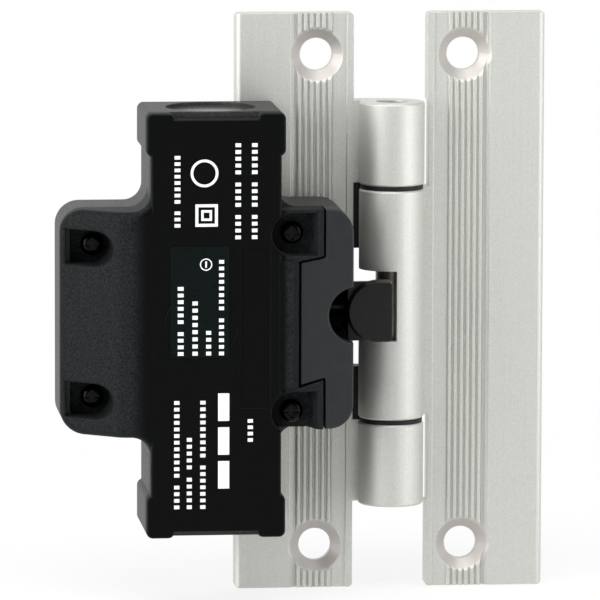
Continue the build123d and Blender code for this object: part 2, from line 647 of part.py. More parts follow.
def make_lid():
    cap = front_prism(block_outline(), BLOCK_PARTING, BLOCK_FRONT)
    cap = fillet(cap.faces().sort_by(Axis.Y)[0].edges(), FRONT_EDGE)
    cap -= front_prism(panel(CAVITY_LEFT, UPPER_CAVITY_RIGHT, CAVITY_BOTTOM, CAVITY_TOP, CAVITY_CORNER),
                       BLOCK_PARTING, BLOCK_FRONT - WALL)
    above = block(LEFT_WING, CORE_LEFT + WALL, LEFT_WING_BOTTOM, LEFT_WING_TOP, BLOCK_PARTING, BLOCK_FRONT)
    lid = (cap - above) + left_hood()
    strip_top, strip_bottom = EAR_ROOTS
    lid += block(CORE_RIGHT, STRIP_RIGHT, strip_bottom, strip_top, RIGHT_PARTING, BLOCK_FRONT)
    strip_edge = [(STRIP_RIGHT - STRIP_BEVEL, py(BLOCK_FRONT)), (STRIP_RIGHT, py(BLOCK_FRONT)),
                  (STRIP_RIGHT, py(BLOCK_FRONT - STRIP_BEVEL))]
    lid -= plan_prism(strip_edge, strip_bottom, strip_top)
    ears = front_prism(right_outline(), RIGHT_PARTING, EAR_FRONT)
    ears += block(UPPER_CAVITY_RIGHT, CORE_RIGHT, RIGHT_WING_BOTTOM, RIGHT_WING_TOP, RIGHT_PARTING, EAR_FRONT)
    for room in ear_rooms():
        lid += room & ears
    for z in RIGHT_SCREW_ZS:
        lid -= right_pocket(z)
        lid -= front_bar(SCREW_RADIUS + SCREW_GAP, RIGHT_SCREW, z, RIGHT_PARTING, RIGHT_POCKET_DEPTH)
    for z in LEFT_SCREW_ZS:
        well = pocket_outline(LEFT_SCREW, z, LEFT_POCKET_RADIUS + POCKET_WALL, LEFT_POCKET_END - POCKET_WALL)
        low = LEFT_POCKET_DEPTH - POCKET_FLOOR
        lid += front_prism(well & wing_room(SEAT_GAP), low, LEFT_PARTING)
        column = front_prism(well & left_outline(), LEFT_PARTING, BLOCK_FRONT)
        lid += column & hood_solid(WALL / 2, CORE_LEFT, LEFT_WING_BOTTOM, LEFT_WING_TOP)
        lid -= left_pocket(z)
        lid -= front_bar(SCREW_RADIUS + SCREW_GAP, LEFT_SCREW, z, low, LEFT_POCKET_DEPTH)
    lid -= front_prism(panel(PANEL_LEFT, PANEL_RIGHT, PANEL_BOTTOM, PANEL_TOP),
                       BLOCK_FRONT - PANEL_DEPTH, BLOCK_FRONT)
    ring = Circle(RING_RADIUS + RING_WIDTH / 2) - Circle(RING_RADIUS - RING_WIDTH / 2)
    ring = Pos(px(RING_PLACE[0]), RING_PLACE[1]) * ring
    return lid - front_prism(ring, BLOCK_FRONT - RING_DEPTH, BLOCK_FRONT)


def cover_pegs():
    h = (EAR_RIGHT + RIGHT_WING) / 2
    return (h, RIGHT_WING_TOP - WING_CORNER), (h, RIGHT_WING_BOTTOM + WING_CORNER)


def make_head_cover():
    """Cover of the plunger head, with a half-round notch over the nose."""
    outline = right_outline() & panel(STRIP_RIGHT + SEAM_GAP, RIGHT_WING, RIGHT_WING_BOTTOM, RIGHT_WING_TOP)
    for ear in ear_outlines(SEAM_GAP):
        outline -= ear
    cover = front_prism(outline, RIGHT_PARTING, COVER_FRONT)
    cover -= head_pocket()
    cover -= front_bar(NOTCH_RADIUS, NOTCH_CENTRE, 0, NOSE_DEPTH, COVER_FRONT)
    cover = fillet(cover.faces().sort_by(Axis.Y)[0].edges(), COVER_EDGE)
    for h, z in cover_pegs():
        cover += front_bar(PEG_RADIUS, h, z, RIGHT_PARTING - PEG_LENGTH, RIGHT_PARTING)
    return cover


def pan_screw(h, z, seat):
    """Pan-head screw with a cross recess and thin marks between its arms, its head on the depth seat."""
    head = front_bar(SCREW_HEAD_RADIUS, h, z, seat, seat + SCREW_HEAD_HEIGHT)
    rim = head.edges().filter_by(GeomType.CIRCLE).sort_by(Axis.Y)[0]
    head = fillet(rim, SCREW_HEAD_ROUNDING)
    screw = head + front_bar(SCREW_RADIUS, h, z, seat - SCREW_BITE, seat)
    top = seat + SCREW_HEAD_HEIGHT
    for turn in (0, 90):
        arm = Pos(px(h), py(top - RECESS_DEPTH / 2), z) * Rot(0, turn, 0)
        screw -= arm * Box(RECESS_SPAN, RECESS_DEPTH, RECESS_WIDTH)
        mark = Pos(px(h), py(top - MARK_DEPTH / 2), z) * Rot(0, turn + 45, 0)
        screw -= mark * Box(MARK_SPAN, MARK_DEPTH, MARK_WIDTH)
    return screw


def make_lid_screws():
    screws = [pan_screw(LEFT_SCREW, z, LEFT_POCKET_DEPTH) for z in LEFT_SCREW_ZS]
    screws += [pan_screw(RIGHT_SCREW, z, RIGHT_POCKET_DEPTH) for z in RIGHT_SCREW_ZS]
    return Compound(children=screws)


def make_base_screws():
    """Countersunk screws, their heads flush with the leaf's back."""
    screws = []
    sink = BASE_SCREW_HEAD - BASE_SCREW_RADIUS - LEAF_THICKNESS
    for h, z in BASE_SCREW_PLACES:
        head = front_bar(BASE_SCREW_HEAD, h, z, -LEAF_THICKNESS, sink, BASE_SCREW_RADIUS)
        screw = head + front_bar(BASE_SCREW_RADIUS, h, z, sink, BASE_SCREW_BITE)
        for turn in (0, 90):
            arm = Pos(px(h), -RECESS_DEPTH / 2, z) * Rot(0, turn, 0)
            screw -= arm * Box(RECESS_SPAN, RECESS_DEPTH, RECESS_WIDTH)
        screws.append(screw)
    return Compound(children=screws)


def make_label():
    outline = panel(LABEL_LEFT, LABEL_RIGHT, LABEL_BOTTOM, LABEL_TOP, LABEL_CORNER)
    return front_prism(outline, BLOCK_FRONT, BLOCK_FRONT + LABEL_THICKNESS)


def make_guide_bush():
    bush = side_bar(GUIDE_RADIUS, CAVITY_RIGHT, GUIDE_RIGHT, 0, ROD_DEPTH)
    bush += side_bar(GUIDE_FLANGE_RADIUS, CAVITY_RIGHT - GUIDE_FLANGE, CAVITY_RIGHT, 0, ROD_DEPTH)
    bore = side_bar(ROD_RADIUS + RUNNING_GAP, CAVITY_RIGHT - GUIDE_FLANGE, GUIDE_RIGHT, 0, ROD_DEPTH)
    return bush - bore


def make_wiper():
    """Seal on the rod, with a lip groove towards the nose."""
    right = WIPER_LEFT + WIPER_WIDTH
    wiper = side_bar(WIPER_RADIUS, WIPER_LEFT, right, 0, ROD_DEPTH)
    wiper -= side_bar(ROD_RADIUS + RUNNING_GAP, WIPER_LEFT, right, 0, ROD_DEPTH)
    groove = side_bar(WIPER_RADIUS - WIPER_WALL, right - WIPER_WIDTH / 2, right, 0, ROD_DEPTH)
    groove -= side_bar(ROD_RADIUS + WIPER_WALL, right - WIPER_WIDTH / 2, right, 0, ROD_DEPTH)
    return wiper - groove


def strip_spans():
    """h span, and h of the contact face, of the opening and of the closing contact's fixed strips."""
    opening_face = OPENING_BRIDGE + 2 * TIP_THICKNESS
    closing_face = CLOSING_BRIDGE - 2 * TIP_THICKNESS - TRAVEL - CONTACT_GAP
    opening = (opening_face + STRIP_THICKNESS - STRIP_WIDTH, opening_face + STRIP_THICKNESS)
    closing = (closing_face - STRIP_THICKNESS, closing_face - STRIP_THICKNESS + STRIP_WIDTH)
    return (opening, opening_face, 1), (closing, closing_face, -1)


def make_contact_block():
    """Insulating block: floor, cheeks that guide the slide, and a terrace on each side for the strips."""
    left = CAVITY_LEFT + SEAT_GAP
    right = CAVITY_RIGHT - GUIDE_FLANGE - SEAT_GAP
    floor_far = SLIDE_NEAR - SLIDE_GAP
    body = block(left, right, -TERRACE_HALF, TERRACE_HALF, FLOOR, floor_far)
    channel = SLIDE_HALF + SLIDE_GAP
    for sign in (-1, 1):
        z0, z1 = sorted((sign * channel, sign * (channel + CHEEK_WALL)))
        body += block(left, right, z0, z1, FLOOR, CHEEK_FAR)
        z0, z1 = sorted((sign * channel, sign * TERRACE_HALF))
        body += block(left, right, z0, z1, FLOOR, TERRACE_FAR)
        for span, face, turn in strip_spans():
            middle = (span[0] + span[1]) / 2
            body -= front_bar(TERMINAL_RADIUS + SCREW_GAP, middle, sign * TERMINAL_Z, floor_far, TERRACE_FAR)
    return body


def make_fixed_contacts():
    strips = []
    for sign in (-1, 1):
        for span, face, turn in strip_spans():
            z0, z1 = sorted((sign * STRIP_INNER, sign * STRIP_OUTER))
            strip = block(*span, z0, z1, TERRACE_FAR, TERRACE_FAR + STRIP_THICKNESS)
            z0, z1 = sorted((sign * STRIP_INNER, sign * BRIDGE_HALF))
            tab = sorted((face, face + turn * STRIP_THICKNESS))
            strip += block(*tab, z0, z1, TERRACE_FAR, BRIDGE_FAR)
            tip = sorted((face, face - turn * TIP_THICKNESS))
            strip += side_bar(TIP_RADIUS, *tip, sign * TIP_Z, (BRIDGE_NEAR + BRIDGE_FAR) / 2)
            middle = (span[0] + span[1]) / 2
            hole = TERMINAL_RADIUS + SCREW_GAP
            strip -= front_bar(hole, middle, sign * TERMINAL_Z, TERRACE_FAR, TERRACE_FAR + STRIP_THICKNESS)
            strips.append(strip)
    return Compound(children=strips)


def make_terminals():
    """Clamp plates and screws that hold the wires on the strips."""
    clamps = []
    screws = []
    plate_near = TERRACE_FAR + STRIP_THICKNESS
    seat = plate_near + STRIP_THICKNESS
    top = seat + TERMINAL_HEAD_HEIGHT
    for sign in (-1, 1):
        for span, face, turn in strip_spans():
            h = (span[0] + span[1]) / 2
            z = sign * TERMINAL_Z
            half = CLAMP_SIDE / 2
            clamp = block(h - half, h + half, z - half, z + half, plate_near, seat)
            clamps.append(clamp - front_bar(TERMINAL_RADIUS + SCREW_GAP, h, z, plate_near, seat))
            screw = front_bar(TERMINAL_HEAD_RADIUS, h, z, seat, top)
            screw += front_bar(TERMINAL_RADIUS, h, z, SLIDE_NEAR, seat)
            for angle in (0, 90):
                arm = Pos(px(h), py(top - RECESS_DEPTH / 2), z) * Rot(0, angle, 0)
                screw -= arm * Box(RECESS_SPAN, RECESS_DEPTH, RECESS_WIDTH)
            screws.append(screw)
    return Compound(children=clamps), Compound(children=screws)


def make_slide():
    """Moulded slide on the rod, with a window for each bridge and a bore for the return spring."""
    slide = block(SLIDE_LEFT, SLIDE_RIGHT, -SLIDE_HALF, SLIDE_HALF, SLIDE_NEAR, SLIDE_FAR)
    near, far = BRIDGE_NEAR - SLIDE_GAP, BRIDGE_FAR + SLIDE_GAP
    slide -= block(OPENING_BRIDGE - OPENING_WINDOW, OPENING_BRIDGE, -SLIDE_HALF, SLIDE_HALF, near, far)
    slide -= block(CLOSING_BRIDGE, CLOSING_BRIDGE + CLOSING_WINDOW, -SLIDE_HALF, SLIDE_HALF, near, far)
    slide -= side_bar(ROD_RADIUS + PRESS_GAP, ROD_LEFT, SLIDE_RIGHT, 0, ROD_DEPTH)
    slide -= side_bar(RETURN_BORE_RADIUS, SLIDE_LEFT, SPRING_SEAT, 0, ROD_DEPTH)
    return slide


def make_bridges():
    """Two contact bridges, each with two tips."""
    bridges = []
    middle = (BRIDGE_NEAR + BRIDGE_FAR) / 2
    for face, turn in ((OPENING_BRIDGE, 1), (CLOSING_BRIDGE, -1)):
        span = sorted((face, face - turn * BRIDGE_THICKNESS))
        bridge = block(*span, -BRIDGE_HALF, BRIDGE_HALF, BRIDGE_NEAR, BRIDGE_FAR)
        tip = sorted((face, face + turn * TIP_THICKNESS))
        for z in (-TIP_Z, TIP_Z):
            bridge += side_bar(TIP_RADIUS, *tip, z, middle)
        bridges.append(bridge)
    return Compound(children=bridges)


def make_contact_springs():
    middle = (BRIDGE_NEAR + BRIDGE_FAR) / 2
    opening = (OPENING_BRIDGE - OPENING_WINDOW, OPENING_BRIDGE - BRIDGE_THICKNESS)
    closing = (CLOSING_BRIDGE + BRIDGE_THICKNESS, CLOSING_BRIDGE + CLOSING_WINDOW)
    springs = []
    for h0, h1 in (opening, closing):
        springs.append(helix_spring(CONTACT_SPRING_RADIUS, CONTACT_WIRE, CONTACT_TURNS, h0, h1, middle))
    return Compound(children=springs)


def make_return_spring():
    return helix_spring(
        RETURN_SPRING_RADIUS, RETURN_WIRE, RETURN_TURNS, CAVITY_LEFT, SPRING_SEAT, ROD_DEPTH
    )


def build_nodes():
    clamps, terminal_screws = make_terminals()
    return {
        "frame_leaf": make_frame_leaf(),
        "door_leaf": make_door_leaf(),
        "hinge_pin": make_pin(),
        "upper_bush": make_bush(1),
        "lower_bush": make_bush(-1),
        "housing_base": make_base(),
        "housing_lid": make_lid(),
        "head_cover": make_head_cover(),
        "lid_seal": seal_ring(BLOCK_PARTING - SEAL_WIDTH),
        "lid_screws": make_lid_screws(),
        "base_screws": make_base_screws(),
        "rating_label": make_label(),
        "guide_bush": make_guide_bush(),
        "wiper_seal": make_wiper(),
        "contact_block": make_contact_block(),
        "fixed_contacts": make_fixed_contacts(),
        "terminal_clamps": clamps,
        "terminal_screws": terminal_screws,
        "plunger": make_plunger(),
        "contact_slide": make_slide(),
        "bridge_contacts": make_bridges(),
        "contact_springs": make_contact_springs(),
        "return_spring": make_return_spring(),
    }


os.makedirs("parts", exist_ok=True)
for name, shape in build_nodes().items():
    export_step(shape, f"parts/{name}.step")
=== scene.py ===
import math

import bmesh
import bpy
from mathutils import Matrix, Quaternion, Vector


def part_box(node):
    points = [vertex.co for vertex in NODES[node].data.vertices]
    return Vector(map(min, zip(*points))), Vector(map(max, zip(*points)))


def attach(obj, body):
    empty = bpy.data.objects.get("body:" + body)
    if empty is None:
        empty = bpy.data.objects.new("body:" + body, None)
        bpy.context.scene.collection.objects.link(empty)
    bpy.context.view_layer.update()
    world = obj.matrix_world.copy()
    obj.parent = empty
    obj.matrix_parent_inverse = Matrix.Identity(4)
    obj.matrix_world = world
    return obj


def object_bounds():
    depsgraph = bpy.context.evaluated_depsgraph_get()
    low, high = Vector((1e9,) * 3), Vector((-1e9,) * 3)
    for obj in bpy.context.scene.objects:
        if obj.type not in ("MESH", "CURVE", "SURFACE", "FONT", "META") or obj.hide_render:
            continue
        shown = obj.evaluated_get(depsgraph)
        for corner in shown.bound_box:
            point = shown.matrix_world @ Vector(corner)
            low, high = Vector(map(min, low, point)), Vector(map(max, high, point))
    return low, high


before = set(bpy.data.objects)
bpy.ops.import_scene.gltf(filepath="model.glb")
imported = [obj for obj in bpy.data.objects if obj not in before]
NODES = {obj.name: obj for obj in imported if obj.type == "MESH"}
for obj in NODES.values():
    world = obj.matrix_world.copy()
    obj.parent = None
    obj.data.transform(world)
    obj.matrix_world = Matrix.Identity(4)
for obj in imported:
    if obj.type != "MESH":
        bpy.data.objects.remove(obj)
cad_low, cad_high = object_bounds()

# The frame's own measures, in metres
MM = 0.001
PIN_LOW, PIN_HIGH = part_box("hinge_pin")
HINGE_X = (PIN_LOW.x + PIN_HIGH.x) / 2
LABEL_LOW, LABEL_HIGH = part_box("rating_label")
LID_FACE_Y = LABEL_HIGH.y
LABEL_FACE_Y = LABEL_LOW.y

# Camera, as the photograph was taken
AZIMUTH = math.radians(-6.055)
ELEVATION = math.radians(7.5)
ROLL = math.radians(0.163)
DISTANCE = 1.350
LENS = 426.5
TARGET = Vector((HINGE_X - 17.135 * MM, -3.6 * MM, 0.327 * MM))

# Light: the room is dark in a cone in front of the object and light elsewhere. The cone and the turn to the
# lighter back are ranges of the direction's Y.
ROOM_FRONT = 0.05
ROOM_SIDE = 0.30
ROOM_BACK = 0.85
FRONT_CONE = (-0.95, -0.62)
ROOM_TURN = (-0.3, 0.6)

# Floor: its gap below the object, half its width, and its own light, which is weaker near the middle
FLOOR_GAP = 0.2 * MM
STAGE_HALF = 3.0
GLOW_NEAR = 0.8
GLOW_REACH = (0.05, 0.30)

# Lid surface: the printed field is smoother and darker than the wings. Both sides of it fade over these
# distances from the hinge axis, in millimetres, and it ends where the faces turn away from the front.
FIELD_LEFT = (-51.8, -48.0)
FIELD_RIGHT = (-22.6, -21.4)
FRONT_FACES = (-0.95, -0.6)

# Countersinks: height of the leaf holes above and below the middle, and the radii over which the tint ends
HOLE_HEIGHT = 47 * MM
SINK_RADII = (4.75 * MM, 4.95 * MM)

# Knock-out discs, which carry a painted lighter tint: their middle from the hinge axis and along Y in
# millimetres, the radii over which they end, and the heights over which they start
DISC_PLACE = (-35.15, -13.3)
DISC_RADII = (8.2 * MM, 8.45 * MM)
DISC_HEIGHTS = (36.5 * MM, 37.0 * MM)

# Print: a word is a row of blocks. A block takes BLOCK_SHARE of the pitch and leaves BLOCK_INSET of the
# line's width free at each side, and WORD_GAP of the pitch is added after a word.
INK_THICKNESS = 0.02 * MM
INK_SINK = 0.005 * MM
BLOCK_SHARE = 0.55
BLOCK_INSET = 0.24
WORD_GAP = 0.8


def px(h):
    """X of a distance to the right of the hinge axis, in millimetres."""
    return HINGE_X + h * MM


# Node helpers
def new_material(name, colour, roughness, metallic=0.0, specular=0.5):
    """Material with its plain values on the shader's own sockets."""
    material = bpy.data.materials.new(name)
    material.use_nodes = True
    tree = material.node_tree
    surface = tree.nodes["Principled BSDF"]
    surface.inputs["Base Color"].default_value = (*colour, 1)
    surface.inputs["Roughness"].default_value = roughness
    surface.inputs["Metallic"].default_value = metallic
    surface.inputs["Specular IOR Level"].default_value = specular
    material.diffuse_color = (*colour, 1)
    return material, tree, surface


def place(tree, stretch=(1, 1, 1)):
    """Object coordinates in metres, stretched along each axis."""
    coordinates = tree.nodes.new("ShaderNodeTexCoord")
    mapping = tree.nodes.new("ShaderNodeMapping")
    mapping.inputs["Scale"].default_value = stretch
    tree.links.new(coordinates.outputs["Object"], mapping.inputs["Vector"])
    return mapping.outputs["Vector"]


def noise(tree, vector, scale, detail=2.0, roughness=0.5):
    """Noise of about 0.3 to 0.7, with scale in waves a metre."""
    node = tree.nodes.new("ShaderNodeTexNoise")
    node.inputs["Scale"].default_value = scale
    node.inputs["Detail"].default_value = detail
    node.inputs["Roughness"].default_value = roughness
    tree.links.new(vector, node.inputs["Vector"])
    return node.outputs["Fac"]


def spread(tree, value, low, high, to_low, to_high, smooth=False):
    """A value mapped from low..high to to_low..to_high."""
    node = tree.nodes.new("ShaderNodeMapRange")
    node.interpolation_type = "SMOOTHSTEP" if smooth else "LINEAR"
    for socket, number in (("From Min", low), ("From Max", high), ("To Min", to_low), ("To Max", to_high)):
        node.inputs[socket].default_value = number
    tree.links.new(value, node.inputs["Value"])
    return node.outputs["Result"]


def maths(tree, first, second, operation="MULTIPLY"):
    """Result of one operation on two values, each a number or a socket."""
    node = tree.nodes.new("ShaderNodeMath")
    node.operation = operation
    for socket, value in zip(node.inputs, (first, second)):
        if isinstance(value, (int, float)):
            socket.default_value = value
        else:
            tree.links.new(value, socket)
    return node.outputs[0]


def between(tree, factor, first, second):
    """Colour between two colours, by a factor."""
    node = tree.nodes.new("ShaderNodeMix")
    node.data_type = "RGBA"
    tree.links.new(factor, node.inputs["Factor"])
    for socket, colour in zip((node.inputs[6], node.inputs[7]), (first, second)):
        if isinstance(colour, tuple):
            socket.default_value = (*colour, 1)
        else:
            tree.links.new(colour, socket)
    return node.outputs[2]


def bump(tree, surface, height, strength, depth, under=None):
    """Relief by height on the surface, over the normal given as under."""
    node = tree.nodes.new("ShaderNodeBump")
    node.inputs["Strength"].default_value = strength
    node.inputs["Distance"].default_value = depth
    tree.links.new(height, node.inputs["Height"])
    if under is not None:
        tree.links.new(under, node.inputs["Normal"])
    tree.links.new(node.outputs["Normal"], surface.inputs["Normal"])


def soft_edges(tree, radius):
    """Normal that rounds sharp edges by radius, for the light on them."""
    node = tree.nodes.new("ShaderNodeBevel")
    node.samples = 6
    node.inputs["Radius"].default_value = radius
    return node.outputs["Normal"]


def edge_mask(tree, rounded):
    """1 on the rounded edges, 0 on the faces."""
    geometry = tree.nodes.new("ShaderNodeNewGeometry")
    node = tree.nodes.new("ShaderNodeVectorMath")
    node.operation = "DOT_PRODUCT"
    tree.links.new(rounded, node.inputs[0])
    tree.links.new(geometry.outputs["Normal"], node.inputs[1])
    return spread(tree, node.outputs["Value"], 0.99, 0.86, 0, 1)


def axis_of(tree, vector, axis):
    """One coordinate of a vector."""
    node = tree.nodes.new("ShaderNodeSeparateXYZ")
    tree.links.new(vector, node.inputs[0])
    return node.outputs[axis]


def facing_front(tree):
    """1 on the faces that look along -Y, 0 on the others."""
    geometry = tree.nodes.new("ShaderNodeNewGeometry")
    turned = axis_of(tree, geometry.outputs["Normal"], "Y")
    return spread(tree, turned, *FRONT_FACES, 1, 0, smooth=True)


# Materials
def grained_plastic(name, colour, roughness, specular):
    """Moulded plastic with an eroded grain: fine bumps, lighter and smoother at their tops."""
    lift = 1.9
    material, tree, surface = new_material(name, colour, roughness, 0, specular)
    vector = place(tree)
    fine = noise(tree, vector, 1 / (0.30 * MM), 3, 0.6)
    light = tuple(c * lift for c in colour)
    dark = tuple(c / lift for c in colour)
    tint = between(tree, spread(tree, fine, 0.35, 0.68, 0, 1), dark, light)
    tree.links.new(tint, surface.inputs["Base Color"])
    finish = spread(tree, fine, 0.3, 0.7, roughness + 0.1, roughness - 0.1)
    tree.links.new(finish, surface.inputs["Roughness"])
    bump(tree, surface, fine, 0.5, 0.03 * MM, soft_edges(tree, 0.35 * MM))
    return material


def base_plastic():
    """Grained moulding whose two knock-out discs are smoother and carry painted light: a lighter tint that
    stands in for the light on their recessed floors.
    """
    material = grained_plastic("base_plastic", (0.030, 0.030, 0.028), 0.5, 0.26)
    tree = material.node_tree
    surface = tree.nodes["Principled BSDF"]
    tint = surface.inputs["Base Color"].links[0].from_socket
    vector = place(tree)
    flat = tree.nodes.new("ShaderNodeMapping")
    flat.inputs["Location"].default_value = (-px(DISC_PLACE[0]), -DISC_PLACE[1] * MM, 0)
    flat.inputs["Scale"].default_value = (1, 1, 0)
    tree.links.new(vector, flat.inputs["Vector"])
    away = tree.nodes.new("ShaderNodeVectorMath")
    away.operation = "LENGTH"
    tree.links.new(flat.outputs["Vector"], away.inputs[0])
    near = spread(tree, away.outputs["Value"], *DISC_RADII, 1, 0)
    high = spread(tree, maths(tree, axis_of(tree, vector, "Z"), 0, "ABSOLUTE"), *DISC_HEIGHTS, 0, 1)
    painted_light_smooth_disc = maths(tree, near, high)
    # Painted light: the lighter tint on the discs stands in for the light on their recessed floors; their
    # smoother finish below is their own.
    tree.links.new(between(tree, painted_light_smooth_disc, tint, (0.075, 0.075, 0.073)), surface.inputs["Base Color"])
    grain = surface.inputs["Roughness"].links[0].from_socket
    tree.links.new(maths(tree, grain, spread(tree, painted_light_smooth_disc, 0, 1, 1, 0.45)), surface.inputs["Roughness"])
    return material


def lid_plastic():
    """Grained on the wings, smooth and nearly black in the printed field of the block."""
    wing = (0.021, 0.0245, 0.0255)
    field = (0.0030, 0.0033, 0.0034)
    material, tree, surface = new_material("lid_plastic", wing, 0.5, 0, 0.055)
    vector = place(tree)
    fine = noise(tree, vector, 1 / (0.28 * MM), 3, 0.6)
    across = axis_of(tree, vector, "X")
    left = spread(tree, across, px(FIELD_LEFT[0]), px(FIELD_LEFT[1]), 0, 1, smooth=True)
    right = spread(tree, across, px(FIELD_RIGHT[0]), px(FIELD_RIGHT[1]), 1, 0, smooth=True)
    inside = maths(tree, maths(tree, left, right), facing_front(tree))
    top = spread(tree, fine, 0.36, 0.66, 0, 1)
    rough_tint = between(tree, top, (0.005, 0.0059, 0.0062), wing)
    smooth_tint = between(tree, top, (0.0018, 0.0020, 0.0021), field)
    tree.links.new(between(tree, inside, rough_tint, smooth_tint), surface.inputs["Base Color"])
    rounded = soft_edges(tree, 0.3 * MM)
    edge = maths(tree, edge_mask(tree, rounded), spread(tree, inside, 0, 1, 1, 0.12))
    finish = maths(tree, spread(tree, inside, 0, 1, 0.5, 0.33), maths(tree, edge, 0.15), "SUBTRACT")
    tree.links.new(finish, surface.inputs["Roughness"])
    height = maths(tree, fine, spread(tree, inside, 0, 1, 1, 0.35))
    bump(tree, surface, height, 0.5, 0.035 * MM, rounded)
    return material


def smooth_plastic(name, colour, roughness, specular=0.5):
    """Plain moulded plastic with a faint waviness."""
    material, tree, surface = new_material(name, colour, roughness, 0, specular)
    vector = place(tree)
    broad = noise(tree, vector, 1 / (1.5 * MM))
    tint = between(tree, spread(tree, broad, 0.3, 0.7, 0, 1), tuple(c * 0.85 for c in colour),
                   tuple(c * 1.15 for c in colour))
    tree.links.new(tint, surface.inputs["Base Color"])
    finish = spread(tree, broad, 0.3, 0.7, roughness - 0.04, roughness + 0.04)
    tree.links.new(finish, surface.inputs["Roughness"])
    bump(tree, surface, broad, 0.12, 0.02 * MM, soft_edges(tree, 0.25 * MM))
    return material


def drawn_aluminium():
    """Satin anodised extrusion with faint drawing lines along its length, warmer in the countersinks."""
    colour = (0.64, 0.642, 0.61)
    material, tree, surface = new_material("anodised_aluminium", colour, 0.52, 0.85, 0.5)
    lines = noise(tree, place(tree, (1, 1, 0.012)), 1 / (0.35 * MM), 3, 0.65)
    skin = noise(tree, place(tree), 1 / (0.22 * MM), 3, 0.6)
    both = maths(tree, maths(tree, lines, 0.2), maths(tree, skin, 0.8), "ADD")
    tint = between(tree, spread(tree, both, 0.35, 0.65, 0, 1), (0.59, 0.592, 0.56), (0.69, 0.692, 0.66))
    spot = place(tree)
    aside = maths(tree, axis_of(tree, spot, "X"), HINGE_X, "SUBTRACT")
    aside = maths(tree, maths(tree, aside, 0, "ABSOLUTE"), HINGE_X, "SUBTRACT")
    above = maths(tree, maths(tree, axis_of(tree, spot, "Z"), 0, "ABSOLUTE"), HOLE_HEIGHT, "SUBTRACT")
    squared = maths(tree, maths(tree, aside, aside), maths(tree, above, above), "ADD")
    cone = spread(tree, squared, SINK_RADII[0] ** 2, SINK_RADII[1] ** 2, 1, 0)
    tree.links.new(between(tree, cone, tint, (0.565, 0.54, 0.515)), surface.inputs["Base Color"])
    tree.links.new(spread(tree, both, 0.35, 0.65, 0.60, 0.50), surface.inputs["Roughness"])
    bump(tree, surface, both, 0.25, 0.012 * MM, soft_edges(tree, 0.25 * MM))
    return material


def worked_metal(name, colour, roughness):
    """Bare or plated metal with fine marks."""
    material, tree, surface = new_material(name, colour, roughness, 1.0)
    marks = noise(tree, place(tree), 1 / (0.3 * MM), 3, 0.6)
    tint = between(tree, spread(tree, marks, 0.3, 0.7, 0, 1), tuple(c * 0.82 for c in colour), colour)
    tree.links.new(tint, surface.inputs["Base Color"])
    finish = spread(tree, marks, 0.3, 0.7, roughness + 0.08, roughness - 0.06)
    tree.links.new(finish, surface.inputs["Roughness"])
    bump(tree, surface, marks, 0.2, 0.01 * MM)
    return material


def printing_ink():
    """White ink, a little uneven."""
    material, tree, surface = new_material("printing_ink", (0.86, 0.87, 0.86), 0.5)
    patch = noise(tree, place(tree), 1 / (0.5 * MM))
    tint = between(tree, spread(tree, patch, 0.3, 0.7, 0, 1), (0.80, 0.81, 0.80), (0.90, 0.91, 0.90))
    tree.links.new(tint, surface.inputs["Base Color"])
    return material


def dress(material, *names):
    """Gives these nodes the material."""
    for name in names:
        mesh = NODES[name].data
        mesh.materials.clear()
        mesh.materials.append(material)


def dress_nodes():
    dress(drawn_aluminium(), "frame_leaf", "door_leaf")
    dress(worked_metal("pin_steel", (0.36, 0.32, 0.28), 0.42), "hinge_pin")
    dress(smooth_plastic("bush_plastic", (0.006, 0.006, 0.007), 0.5, 0.3), "upper_bush", "lower_bush")
    dress(base_plastic(), "housing_base")
    dress(lid_plastic(), "housing_lid")
    dress(smooth_plastic("cover_plastic", (0.011, 0.0135, 0.0145), 0.42, 0.35), "head_cover")
    dress(smooth_plastic("nose_plastic", (0.0055, 0.0062, 0.0055), 0.3, 0.22), "plunger")
    dress(smooth_plastic("seal_rubber", (0.012, 0.012, 0.012), 0.7, 0.3), "lid_seal", "wiper_seal")
    dress(worked_metal("black_screw", (0.013, 0.0125, 0.012), 0.21), "lid_screws")
    dress(worked_metal("plain_screw", (0.62, 0.62, 0.61), 0.35), "base_screws", "terminal_clamps",
          "terminal_screws")
    dress(smooth_plastic("label_film", (0.0025, 0.0050, 0.0052), 0.3, 0.07), "rating_label")
    dress(worked_metal("brass", (0.75, 0.56, 0.28), 0.3), "guide_bush")
    dress(worked_metal("contact_brass", (0.78, 0.60, 0.32), 0.34), "fixed_contacts", "bridge_contacts")
    dress(smooth_plastic("insulator", (0.55, 0.52, 0.44), 0.5), "contact_block", "contact_slide")
    dress(worked_metal("spring_steel", (0.6, 0.6, 0.6), 0.3), "contact_springs", "return_spring")


# Print on the lid and label
def ink_piece(name, outlines, face_y, material):
    """Flat shapes of ink on a face that looks along -Y.

    An outline is a list of (x, z) loops, the outer one first and then its holes.
    """
    mesh = bmesh.new()
    for loops in outlines:
        edges = []
        for loop in loops:
            corners = [mesh.verts.new((x, face_y + INK_SINK, z)) for x, z in loop]
            edges += [mesh.edges.new((a, b)) for a, b in zip(corners, corners[1:] + corners[:1])]
        bmesh.ops.triangle_fill(mesh, edges=edges, use_beauty=True)
    bmesh.ops.recalc_face_normals(mesh, faces=mesh.faces)
    grown = bmesh.ops.extrude_face_region(mesh, geom=list(mesh.faces))
    moved = [part for part in grown["geom"] if isinstance(part, bmesh.types.BMVert)]
    bmesh.ops.translate(mesh, verts=moved, vec=(0, -INK_THICKNESS - INK_SINK, 0))
    bmesh.ops.recalc_face_normals(mesh, faces=mesh.faces)
    data = bpy.data.meshes.new(name)
    mesh.to_mesh(data)
    mesh.free()
    data.materials.append(material)
    piece = bpy.data.objects.new(name, data)
    bpy.context.scene.collection.objects.link(piece)
    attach(piece, "root")


def bar(x0, x1, z0, z1):
    """Corners of an upright rectangle."""
    return [(x0, z0), (x1, z0), (x1, z1), (x0, z1)]


